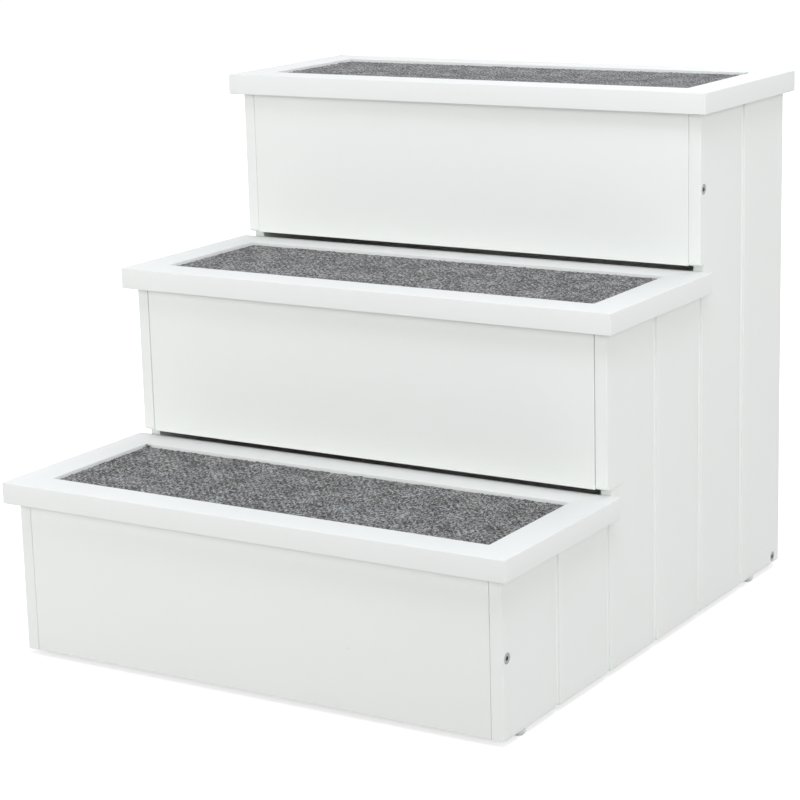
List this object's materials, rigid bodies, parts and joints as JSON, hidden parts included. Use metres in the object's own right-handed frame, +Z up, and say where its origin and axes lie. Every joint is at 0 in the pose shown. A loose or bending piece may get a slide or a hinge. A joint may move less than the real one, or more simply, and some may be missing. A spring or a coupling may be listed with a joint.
{
  "type": "pet stairs",
  "caption": "White pet stairs with stepped grooved side panels, closed risers and overhanging treads with grey felt carpets set into them.",
  "frame": {"origin": "on the floor, under the centre of the bounding box", "axes": "+Z up, +Y from the front step to the back, +X to the right seen from the front"},
  "size_m": [0.4, 0.445, 0.38],
  "materials": {
    "white_lacquer": "satin white lacquer on MDF",
    "back_board": "matt white thin board",
    "grey_felt": "heathered dark grey needle felt",
    "bare_wood": "untreated softwood and beech",
    "zinc_steel": "zinc plated",
    "glide_plastic": "translucent light grey"
  },
  "bodies": {
    "root": {"back_panel": "back_board", "carpet_lower": "grey_felt", "carpet_middle": "grey_felt", "carpet_upper": "grey_felt", "glide_foot_front_left": "glide_plastic", "glide_foot_front_right": "glide_plastic", "glide_foot_rear_left": "glide_plastic", "glide_foot_rear_right": "glide_plastic", "rail_screws": "zinc_steel", "rear_bottom_rail": "white_lacquer", "riser_lower": "white_lacquer", "riser_middle": "white_lacquer", "riser_screws_lower": "zinc_steel", "riser_screws_upper": "zinc_steel", "riser_tongues_lower": "bare_wood", "riser_tongues_middle": "bare_wood", "riser_tongues_upper": "bare_wood", "riser_upper": "white_lacquer", "side_panel_left": "white_lacquer", "side_panel_right": "white_lacquer", "tread_cleat_lower_left": "bare_wood", "tread_cleat_lower_right": "bare_wood", "tread_cleat_middle_left": "bare_wood", "tread_cleat_middle_right": "bare_wood", "tread_cleat_upper_left": "bare_wood", "tread_cleat_upper_right": "bare_wood", "tread_lower": "white_lacquer", "tread_middle": "white_lacquer", "tread_upper": "white_lacquer"}
  },
  "joints": []
}
